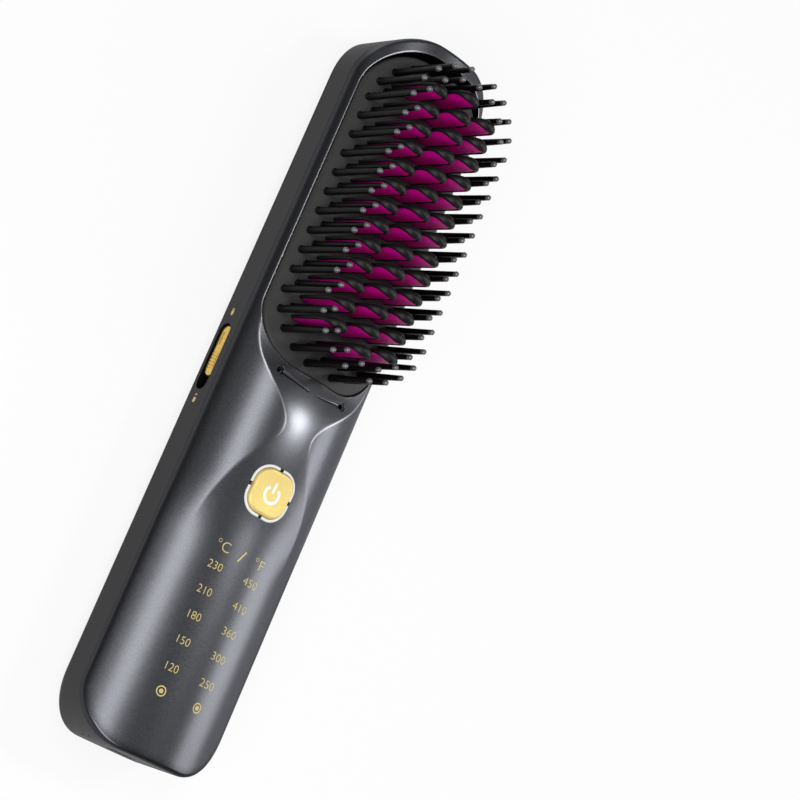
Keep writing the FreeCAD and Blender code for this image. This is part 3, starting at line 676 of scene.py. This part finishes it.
def band_stations(path):
    """Lengths along the outline of the slot's middle, the inlet's middle and the lamp holes."""
    length, points, out = path
    left = np.nonzero(out[:, 0] < -0.9999)[0]
    end = np.nonzero(out[:, 1] < -0.9999)[0]
    slot = length[left[0]] + points[left[0], 1] - slot_y
    inlet = length[end[0]] - points[end[0], 0]
    corner = length[left[-1]] + points[left[-1], 1] - (handle_corner - half_length)
    return slot, inlet, corner + handle_corner * lamp_turn


def band_sheet(path, flat, faces):
    """Flat points of length and height laid on the upright band, with outward normals."""
    e, total = 0.05, path[0][-1]
    s, z = flat.T
    shape = band_point(path, s, z)
    along = band_point(path, np.clip(s + e, 0, total), z) - band_point(path, np.clip(s - e, 0, total), z)
    upward = band_point(path, s, z + e) - band_point(path, s, z - e)
    normal = np.cross(along, upward)
    normal /= np.maximum(np.linalg.norm(normal, axis=1, keepdims=True), 1e-12)
    return shape, faces, normal


def band_wall(path, loop, deep):
    """Wall of an opening in the band: a small round, then straight in."""
    round_size, round_deep, least_off = 0.16, 0.2, 0.3
    n = band_normal(path, loop[:, 0])
    edge = band_point(path, *loop.T)
    mid = loop.mean(0)
    off = np.maximum(np.linalg.norm(loop - mid, axis=1, keepdims=True), least_off)
    small = mid + (loop - mid) * (1 - round_size / off)
    inner = band_point(path, *small.T)
    lip = bow(edge, inner, inner - round_deep * n, 4)
    drop = bow(inner - round_deep * n, inner - 0.5 * deep * n, inner - deep * n, 3)
    return grid_part(np.concatenate([lip, drop[:, 1:]], 1), flip=True)


def side_band():
    """Upright band: the sheet between both seams less its openings, with a lip at each seam and walls."""
    seam_gap, lip_high, lip_deep, oval_wall, lamp_wall = 0.15, 0.14, 0.6, 2.0, 1.2
    path = band_path()
    total = path[0][-1]
    slot_s, inlet_s, lamp_s = band_stations(path)
    slot_oval = (slot_s, slot_z, slot_length, slot_width)
    inlet_oval = (inlet_s, inlet_z, inlet_length, inlet_width)
    slot, inlet = oval_loop(*slot_oval, 56), oval_loop(*inlet_oval, 44)
    lamps = [circle(lamp_s, z, lamp_radius, 16) for z in lamp_heights]

    def seams(s):
        x = np.interp(s, path[0], path[1][:, 0])
        return back_seam(x) + seam_gap, front_seam(x) - seam_gap

    def inside(s, z, gap=0.0):
        low, high = seams(s)
        keep = (z > low + gap) & (z < high - gap) & (s > gap) & (s < total - gap)
        keep &= oval_reach(s, z, *slot_oval) > slot_width / 2 + gap
        keep &= oval_reach(s, z, *inlet_oval) > inlet_width / 2 + gap
        for height in lamp_heights:
            keep &= np.hypot(s - lamp_s, z - height) > lamp_radius + gap * 0.5
        return keep

    s = np.linspace(0, total, int(total / 0.8))
    low, high = seams(s)
    border = np.concatenate([np.stack([s, low], 1), np.stack([s, high], 1)[::-1]])
    grid = hex_points(0, total, 2.0, 24.0, 1.3)
    grid = grid[inside(*grid.T, 0.5)]
    parts = [band_sheet(path, *trimmed(grid, [border, slot, inlet] + lamps, inside))]
    s = np.linspace(0, total, 520)
    low, high = seams(s)
    for z, way in ((high, 1), (low, -1)):
        edge = band_point(path, s, z)
        tip = edge + [0, 0, lip_high * way]
        lip = bow(edge, tip, tip - lip_deep * band_normal(path, s), 5)
        parts.append(grid_part(lip, close_rows=False, flip=way > 0))
    parts += [band_wall(path, loop, oval_wall) for loop in (slot, inlet)]
    return parts + [band_wall(path, loop, lamp_wall) for loop in lamps]


def back_shell():
    """Back lid: a height field with carved lozenges, and a rounded edge up to the seam."""
    edge, side_wall, lip_round, lip_deep, gap = 3.0, 1.2, 0.12, 0.5, 0.4
    carved_y, carved_half, carved_side = -39.0, 43.0, 17.0
    rim = bar_path(*case_bar, 0.9)[0]
    seam = back_seam(rim[:, 0])
    limit = head_limit(seam)
    held = rim[:, 1] > limit
    rim = np.column_stack([rim[:, 0], np.minimum(rim[:, 1], limit)])
    way = np.roll(rim, -1, 0) - np.roll(rim, 1, 0)
    way = sum(np.roll(way, k, 0) for k in range(-5, 6))
    out = np.stack([way[:, 1], -way[:, 0]], 1)
    out /= np.linalg.norm(out, axis=1, keepdims=True)
    start = rim - edge * out

    fine = hex_points(-half_width, half_width, carved_y - carved_half, carved_y + carved_half, 0.42)
    fine = fine[np.abs(fine[:, 0]) < carved_side]
    coarse = hex_points(-half_width, half_width, -half_length, half_length, 1.2)
    beyond = np.abs(coarse[:, 1] - carved_y) > carved_half + 0.5
    coarse = coarse[beyond | (np.abs(coarse[:, 0]) > carved_side + 0.4)]
    grid = np.concatenate([fine, coarse])
    x, y = grid.T
    top = head_limit(back_seam(np.clip(x, -half_width, half_width))) - edge * 1.02
    grid = grid[(bar_distance(x, y, *shrunk(case_bar, edge)) < -gap) & (y < top - gap)]
    bottom = field_part(*trimmed(grid, [start], partial(in_loop, start)), back_z, under=True)

    z = back_z(*start.T)
    slope = np.maximum(loop_slope(back_z, start, out), 0)
    wall = np.where(held, 0.0, side_wall)
    turn = np.minimum(z + slope * edge, seam - lip_round - 0.4 * wall)
    high = raised(rim, seam - lip_round)
    shoulder = bow(raised(start, z), raised(rim, turn), high, 14)
    lip = bow(high, high + [0, 0, lip_round], high + raised(-lip_deep * out, lip_round), 5)
    return [bottom, grid_part(np.concatenate([shoulder, lip[:, 1:]], 1))]


def fin_places():
    """Fin stations as rows of x, y and cap top: two side columns and a middle one set half a pitch off."""
    columns = [(-fin_x, side_rows, side_cap_top), (fin_x, side_rows, side_cap_top),
               (0.0, middle_rows, middle_cap_top)]
    return np.array([(x, field_y + pitch * (k - (rows - 1) / 2), top)
                     for x, rows, top in columns for k in range(rows)])


def comb_plate():
    """Crowned plate with a slot for every fin, and a rounded edge that runs down to its seat."""
    edge, seat = 0.8, 16.2
    places = fin_places()[:, :2]
    rim, out = bar_path(*plate_bar, 0.9)
    start = rim - edge * out
    slots = places[:, None] + fin_slot * [[-1, -1], [1, -1], [1, 1], [-1, 1]]

    def inside(x, y, gap=0.0):
        keep = bar_distance(x, y, *shrunk(plate_bar, edge)) < -gap
        beside = np.abs(np.stack([x, y], 1)[:, None] - places) - fin_slot
        return keep & (beside.max(2) > gap).all(1)

    grid = hex_points(-plate_bar[0], *plate_bar[:3], 1.1)
    grid = grid[inside(*grid.T, 0.3)]
    flat, faces = trimmed(grid, [start, *slots], inside)
    top = field_part(flat, faces, plate_z)
    z = plate_z(start[:, 0])
    corner = raised(rim, z + loop_slope(plate_z, start, out) * edge)
    low = corner - [0, 0, edge]
    floor = raised(rim, seat)
    shoulder = bow(raised(start, z), corner, low, 6)
    skirt = bow(low, (low + floor) / 2, floor, 4)
    return [top, grid_part(np.concatenate([shoulder, skirt[:, 1:]], 1), flip=True)]


def pin_places(x, rows, start, depth, first, step):
    """Two straight columns of pins, closed at both ends of the field by an arc of pins."""
    places = [(s * x, field_y + pitch * (k - (rows - 1) / 2)) for s in (-1, 1) for k in range(rows)]
    for k in range(arc_pins):
        turn = math.radians(first + step * k)
        across, along = x * math.cos(turn), start + depth * math.sin(turn)
        sides = (-1, 1) if across > 1 else (1,)
        places += [(s * across, field_y + end * along) for s in sides for end in (-1, 1)]
    return np.array(places)


def pins(places):
    """Tapered pins with ball tips: a profile turned about each axis. The tips follow the crown a little."""
    top, follow, sink, ball, ball_reach = 41.9, 0.35, 0.35, 0.78, 1.25
    foot = plate_z(places[:, 0])
    tip = top + follow * (foot - plate_z(outer_x))
    share = np.array([0.0, 0.012, 0.035, 0.5, 1.0])
    radius = np.array([1.35, 1.16, 1.06, 0.9, 0.74])
    z = (foot - sink)[:, None] * (1 - share) + (tip - ball_reach)[:, None] * share
    turn = np.radians(np.array([-38.0, -15.0, 12.0, 38.0, 62.0, 82.0, 90.0]))
    ball_r, ball_z = ball * np.cos(turn), (tip - ball)[:, None] + ball * np.sin(turn)
    ball_r[-1] = 0.02
    around = 2 * np.pi * np.arange(12) / 12

    def turned(r, height):
        r = np.broadcast_to(r, height.shape)
        x = places[:, 0, None, None] + r[..., None] * np.cos(around)
        y = places[:, 1, None, None] + r[..., None] * np.sin(around)
        return np.stack([x, y, np.broadcast_to(height[..., None], x.shape)], -1)

    ball_r, ball_z = np.concatenate([radius[-1:], ball_r]), np.concatenate([z[:, -1:], ball_z], 1)
    return [tube_part(turned(radius, z), flip=True), tube_part(turned(ball_r, ball_z), flip=True)]


def fin_caps():
    """Arch caps: an oval section carried up a leg, over a half oval and down again, widest at the top, where
    both flanks hang down a little."""
    thick, sink, leg_half, leaf_half, hang = 0.5, 0.3, 0.5, 1.05, 0.55
    places = fin_places()
    half, shoulder = cap_half - thick, cap_shoulder - thick
    turn = np.radians(np.linspace(180, 0, 31))
    leg = np.linspace(0, 1, 6)
    ends = np.zeros(len(leg) - 1)
    spring = places[:, 2, None] - cap_shoulder
    left, right = (plate_z(places[:, 0] + side * half)[:, None] - sink for side in (-1, 1))
    x = np.concatenate([ends - half, half * np.cos(turn), ends + half])
    z = np.concatenate([left + (spring - left) * leg[:-1], spring + shoulder * np.sin(turn),
                        spring + (right - spring) * leg[1:]], 1)
    dx, dz = np.gradient(x)[None], np.gradient(z, axis=1)
    size = np.hypot(dx, dz)
    nx, nz = -dz / size, dx / size
    leaf = np.concatenate([ends, np.clip(np.sin(turn), 0, 1) ** 2.3, ends])
    around = 2 * np.pi * np.arange(16) / 16
    flank = np.cos(around)
    out = thick * np.sin(around) - hang * leaf[:, None] * flank ** 2
    px = places[:, 0, None, None] + x[None, :, None] + nx[..., None] * out
    py = places[:, 1, None, None] + (leg_half + leaf_half * leaf)[None, :, None] * flank
    pz = z[..., None] + nz[..., None] * out
    return [tube_part(np.stack([px, np.broadcast_to(py, px.shape), pz], -1))]


def heated_fins():
    """Thin coated fins: two flat faces under a half oval, joined by a narrow edge."""
    inset, thick, foot = 1.1, 0.45, 19.4
    half, shoulder = cap_half - inset, cap_shoulder - inset
    turn = np.radians(np.linspace(0, 180, 25))
    parts = []
    for x, y, top in fin_places():
        arch = np.stack([half * np.cos(turn), top - cap_shoulder + shoulder * np.sin(turn)], 1)
        outline = np.concatenate([[[half, foot]], arch, [[-half, foot]]])
        n = len(outline)
        k = np.arange(n)
        near, far = (np.column_stack([x + outline[:, 0], np.full(n, y + s * thick), outline[:, 1]])
                     for s in (-1, 1))
        edge = np.stack([k, k + n, (k + 1) % n + n, (k + 1) % n], 1)[:, ::-1]
        parts += [(near, [k.tolist()], None), (far, [k[::-1].tolist()], None)]
        parts.append((np.concatenate([near, far]), edge, None))
    return parts


def square_ring(grow):
    """Points round the button's rounded square, moved out by an even step."""
    path, out = bar_path(button_half, -button_half, button_half, button_corner, button_corner, 0.2)
    return path + grow * out


def power_button():
    """Button cap: rounded squares along the panel, from its skirt over a round shoulder to a hollow top."""
    gap, shoulder, skirt, skirt_middle = 0.02, 0.75, 4.5, 2.0
    turn = np.linspace(0, math.pi / 2, 7)[1:]
    grow = np.concatenate([np.full(3, -gap), -gap - shoulder * (1 - np.cos(turn))])
    drop = np.concatenate([[skirt, skirt_middle, shoulder], shoulder * (1 - np.sin(turn))])
    rows = [raised(square_ring(g), d) for g, d in zip(grow, drop)]
    last = rows[-1]
    for share in (0.85, 0.7, 0.5, 0.3, 0.12, 0.01):
        rows.append(last * [share, share, 1.0] + [0, 0, button_hollow * (1 - share * share)])
    grid = np.stack(rows)
    x, y = grid[..., 0], grid[..., 1] + button_y
    return [tube_part(np.stack([x, y, front_z(x, y) + button_rise - grid[..., 2]], -1), flip=True)]


def light_ring():
    """Light guide round the button: four round-topped corner strips, parted by notches, on a lower ring."""
    inner, outer, edge, skirt, rise = 0.1, 0.92, 0.16, 2.0, 0.16
    notch_half, notch_side, notch_deep, notch_floor = 0.45, 0.1, 0.6, 0.58
    across = np.array([inner, inner, inner + edge, outer - edge, outer, outer])
    drop = np.array([skirt, edge, 0.0, 0.0, edge, skirt])
    loop = np.stack([square_ring(g) for g in across], 1)
    far = np.abs(loop).min(2)
    down = drop + notch_deep * (1 - ease((far - notch_half) / notch_side)) * (drop < 1)
    x, y = loop[..., 0], loop[..., 1] + button_y
    # Faces wholly in the notches take black plastic: painted shade in the notches
    return parted(grid_part(np.stack([x, y, front_z(x, y) + rise - down], -1)), far.ravel() < notch_floor)


def parted(part, chosen):
    """A part as two: the faces with a point outside the choice, and the faces that lie wholly in it."""
    points, faces, normals = part
    whole = chosen[faces].all(1)
    out = []
    for pick in (~whole, whole):
        used, at = np.unique(faces[pick], return_inverse=True)
        out.append((points[used], at.reshape(-1, faces.shape[1]), normals[used]))
    return out


def leftward(points):
    """Points made face up, turned to face out of the left side: X runs down the case and Y upwards."""
    return np.stack([-points[:, 2], -points[:, 0], points[:, 1]], 1)


def slider_knob():
    """Oval knob: domed face, cross ribs in its lower half and a raised bar, on a plate behind the band."""
    place, length, width, face, edge, deep = -1.8, 14.8, 4.3, 22.75, 0.6, 2.2
    dome, rib_high, rib_pitch, bar_high, bar_half = 0.35, 0.16, 0.9, 0.3, 0.45
    flat_half = width / 2 - edge
    oval = (place, slot_z, length, width)
    rim = oval_loop(*oval, 72)
    inset = oval_loop(place, slot_z, length - 2 * edge, width - 2 * edge, 72)

    def height(a, b):
        down = a - place
        off = oval_reach(a, b, *oval) / flat_half
        rib = np.sin(down * 2 * np.pi / rib_pitch) * ease((down - 0.2) / 0.8) * ease(6.0 - down)
        bar = np.exp(-((b - slot_z) / bar_half) ** 2) * ease((down + 5.6) / 0.6) * ease((-1.0 - down) / 0.6)
        raise_both = (rib_high * rib + bar_high * bar) * ease((1 - off) / 0.25)
        return face + dome * (1 - np.minimum(off, 1) ** 2) + raise_both

    grid = hex_points(place - 7.2, place + 7.2, slot_z - 1.8, slot_z + 1.8, 0.14)
    grid = grid[oval_reach(*grid.T, *oval) < flat_half - 0.08]
    top = field_part(*trimmed(grid, [inset], partial(in_loop, inset)), height)
    shoulder = bow(raised(inset, face), raised(rim, face), raised(rim, face - edge), 6)
    wall = np.concatenate([shoulder, raised(rim, face - deep)[:, None]], 1)
    parts = (top, grid_part(wall, flip=True), keeper(place))
    return [(leftward(points), faces, leftward(normals)) for points, faces, normals in parts]


def keeper(place):
    """Plate that carries the knob: rounded rectangles from the middle of one face to the other's."""
    half_long, half_wide, corner, outer, inner, edge = 12.15, 3.35, 0.8, 20.85, 19.85, 0.2
    path = bar_path(half_long, -half_wide, half_wide, corner, corner, 0.7)[0]
    shares = (0.01, 0.9, 1.0, 1.0, 0.9, 0.01)
    levels = (outer, outer, outer - edge, inner + edge, inner, inner)
    rows = [raised(path * share + [place, slot_z], level) for share, level in zip(shares, levels)]
    return grid_part(np.stack(rows, 1))


def band_marks():
    """Lock marks on the left side beyond the slot's ends: a body and a bow, the lower bow open."""
    lift, body_long, body_wide, bow_radius, bow_wide = 0.03, 1.5, 1.2, 0.42, 0.24
    parts = []
    for y, opened in ((12.7, 0.0), (-13.0, 0.5)):
        body = flat_bar(-y, slot_z, body_long, body_wide)
        ring = flat_ring(-y - body_long / 2 - opened, slot_z, bow_radius, bow_wide, 90, 270, 16)
        parts += [(leftward(raised(flat, half_width + lift)), faces, None) for flat, faces in (body, ring)]
    return parts


def flat_text(words, size, x, y, stretch=1.0):
    """Outline of light words as flat points and faces, stretched across and centred on a point."""
    curve = bpy.data.curves.new("words", "FONT")
    curve.body, curve.size, curve.align_x, curve.align_y = words, size, "CENTER", "CENTER"
    curve.offset = -0.012 * size
    holder = bpy.data.objects.new("words", curve)
    mesh = bpy.data.meshes.new_from_object(holder)
    co = mesh_points(mesh)[:, :2] * [stretch, 1.0] + [x, y]
    faces = [list(p.vertices) for p in mesh.polygons]
    bpy.data.objects.remove(holder)
    bpy.data.meshes.remove(mesh)
    return co, faces


def flat_ring(x, y, radius, wide, first=0.0, last=360.0, count=40):
    """Flat band of a circle between two angles."""
    turn = np.radians(np.linspace(first, last, count))
    way = np.stack([np.cos(turn), np.sin(turn)], 1)
    points = np.concatenate([way * (radius - wide / 2), way * (radius + wide / 2)]) + [x, y]
    k = np.arange(count - 1)
    return points, np.stack([k, k + count, k + count + 1, k + 1], 1).tolist()


def flat_bar(x, y, wide, tall, turned=0.0):
    """Flat rounded bar about a point, turned by an angle in degrees."""
    corner = min(wide, tall) * 0.45
    path = bar_path(wide / 2, -tall / 2, tall / 2, corner, corner, 0.2)[0]
    c, s = math.cos(math.radians(turned)), math.sin(math.radians(turned))
    return path @ np.array([[c, s], [-s, c]]) + [x, y], [list(range(len(path)))]


def laid(flat, faces, lift, height):
    """A flat mark laid on a surface, a little above it."""
    return raised(flat, height(*flat.T) + lift), faces, None


def temperature_print():
    """Gold print on the handle: units, two columns of temperatures and two plain ring marks."""
    column, unit_y, ring_y, lift = 6.1, -46.1, -86.3, 0.03
    marks = [flat_text("°C", 4.0, -column, unit_y), flat_text("°F", 4.0, 6.3, unit_y, 1.2)]
    marks.insert(1, flat_bar(0.1, -46.3, 0.42, 3.7, -26))
    rows = [(230, 450, -51.5), (210, 410, -58.5), (180, 360, -65.5), (150, 300, -72.5), (120, 250, -79.9)]
    for left, right, y in rows:
        marks += [flat_text(str(left), 3.1, -column, y, 0.95), flat_text(str(right), 3.15, column, y, 1.15)]
    for x in (-column, column):
        marks += [flat_ring(x, ring_y, 1.25, 0.32), flat_ring(x, ring_y, 0.35, 0.5)]
    return [laid(*mark, lift, front_z) for mark in marks]


def power_mark():
    """White power mark on the button's hollow face: an open ring and a bar."""
    lift, stroke, face_half = 0.04, 0.8, 5.4

    def face(x, y):
        away = np.minimum(np.hypot(x, y - button_y) / face_half, 1)
        return front_z(x, y) + button_rise - button_hollow * (1 - away ** 2)

    ring = flat_ring(0, button_y - 0.4, 2.25, stroke, 128, 412)
    return [laid(*mark, lift, face) for mark in (ring, flat_bar(0, button_y + 1.5, stroke, 2.9))]


# The walls inside the openings take black plastic: painted shade in the openings
shell_finish = [graphite, graphite, graphite_highlight_lip] + [graphite] * 3 + [pin_black]
shell = piece("front_shell_skin", front_shell(), shell_finish, "front_shell")
# Painted highlight: the lacquer lightens along the neck's creases
paint(shell, "painted_highlight", edge_polish)
paint(shell, "end_shade", end_shade)
# The walls inside the slot, inlet and lamp holes take black plastic: painted shade in the openings
piece("side_band_skin", side_band(), [band_dark] * 3 + [pin_black], "side_band")
piece("back_shell_skin", back_shell(), graphite_back, "back_shell")
piece("comb_plate_skin", comb_plate(), plate_grey, "comb_plate")
for side, row in (("outer", outer_row), ("inner", inner_row)):
    pin_parts = pins(pin_places(*row))
    piece(side + "_pin_rows", pin_parts, [pin_black, tip_grey], side + "_pins")
piece("leaf_arch_caps", fin_caps(), cap_black, "fin_caps")
piece("coated_fins", heated_fins(), magenta, "heated_fins", smooth=False)
piece("power_button_cap", power_button(), button_gold, "power_button", "button")
piece("light_ring_guide", light_ring(), [white_guide, switch_black], "light_ring")
piece("slider_knob", slider_knob(), [gold, gold, switch_black], "lock_slider", "slider")
piece("lock_marks", band_marks(), gold_print, smooth=False)
piece("power_mark", power_mark(), white_mark, body="button", smooth=False)
piece("temperature_print", temperature_print(), gold_print, smooth=False)


def pale_floor():
    """Floor finish: pale, and lit up towards white where the camera, a reflection or glass shows it."""
    glow = 0.85
    f = Finish("pale_floor")
    f.set(Base_Color=f.mix(f.noise(3.0), (0.78, 0.78, 0.78, 1), (0.8, 0.8, 0.8, 1)), Roughness=0.9,
          Specular_IOR_Level=0.0)
    seen, glossy, clear = (f.node("LightPath", out=ray)
                           for ray in ("Is Camera Ray", "Is Glossy Ray", "Is Transmission Ray"))
    share = seen.math("MAXIMUM", seen, glossy.math("MAXIMUM", glossy, clear)) * glow
    white = f.node("Emission", None, {"Color": (1, 1, 1, 1), "Strength": 1.0})
    mixed = f.node("MixShader", None, {0: share, 1: Value(f.tree, f.shader.outputs[0]), 2: white})
    f.put(f.tree.nodes["Material Output"].inputs["Surface"], mixed)
    return f.material


def lamp(name, place, target, size, power):
    """Soft rectangular lamp at a place, turned to a target: metres and watts."""
    data = bpy.data.lights.new(name, "AREA")
    data.shape, data.size, data.size_y, data.energy = "RECTANGLE", size[0], size[1], power
    made = bpy.data.objects.new(name, data)
    made.location = place
    made.rotation_euler = (Vector(target) - Vector(place)).to_track_quat("-Z", "Y").to_euler()
    bpy.context.scene.collection.objects.link(made)


def studio():
    """Pale floor with the object's shadow, even light from all round, four soft lamps and the camera."""
    reach, world_light = 40.0, 0.18
    corners = [(-reach, -reach, 0), (reach, -reach, 0), (reach, reach, 0), (-reach, reach, 0)]
    floor_mesh = bpy.data.meshes.new("floor")
    floor_mesh.from_pydata(corners, [], [(0, 1, 2, 3)])
    floor_mesh.materials.append(pale_floor())
    floor = bpy.data.objects.new("floor", floor_mesh)
    bpy.context.scene.collection.objects.link(floor)

    world = bpy.data.worlds.new("studio")
    bpy.context.scene.world = world
    world.use_nodes = True
    back = world.node_tree.nodes["Background"]
    back.inputs["Color"].default_value = (1, 1, 1, 1)
    back.inputs["Strength"].default_value = world_light

    lamp("left_strip", (-0.31, 0.1, 0.75), (0, 0, 0.02), (0.5, 0.23), 1.9)
    lamp("right_strip", (0.8, 0.11, 0.34), (0, 0.03, 0.02), (0.42, 0.4), 2.1)
    lamp("front_lamp", (-0.42, -0.45, 0.62), (0, 0.03, 0.03), (0.5, 0.4), 5.0)
    lamp("neck_lamp", (0.37, 0.21, 0.645), (0, -0.01, 0.028), (0.12, 0.1), 1.55)

    eye = bpy.data.cameras.new("camera")
    eye.lens, eye.sensor_width = 101.44, 36.0
    camera = bpy.data.objects.new("camera", eye)
    right = Vector((0.69567552, 0.37643037, 0.61182983))
    up = Vector((-0.43901036, 0.89693684, -0.0526707))
    away = Vector((-0.56859957, -0.23195792, 0.78923384))
    turn = Matrix((right, up, away)).transposed().to_4x4()
    camera.matrix_world = Matrix.Translation((-0.3219, -0.13, 0.511)) @ turn
    bpy.context.scene.collection.objects.link(camera)
    bpy.context.scene.camera = camera
    bpy.context.scene.view_settings.view_transform = "Standard"


studio()
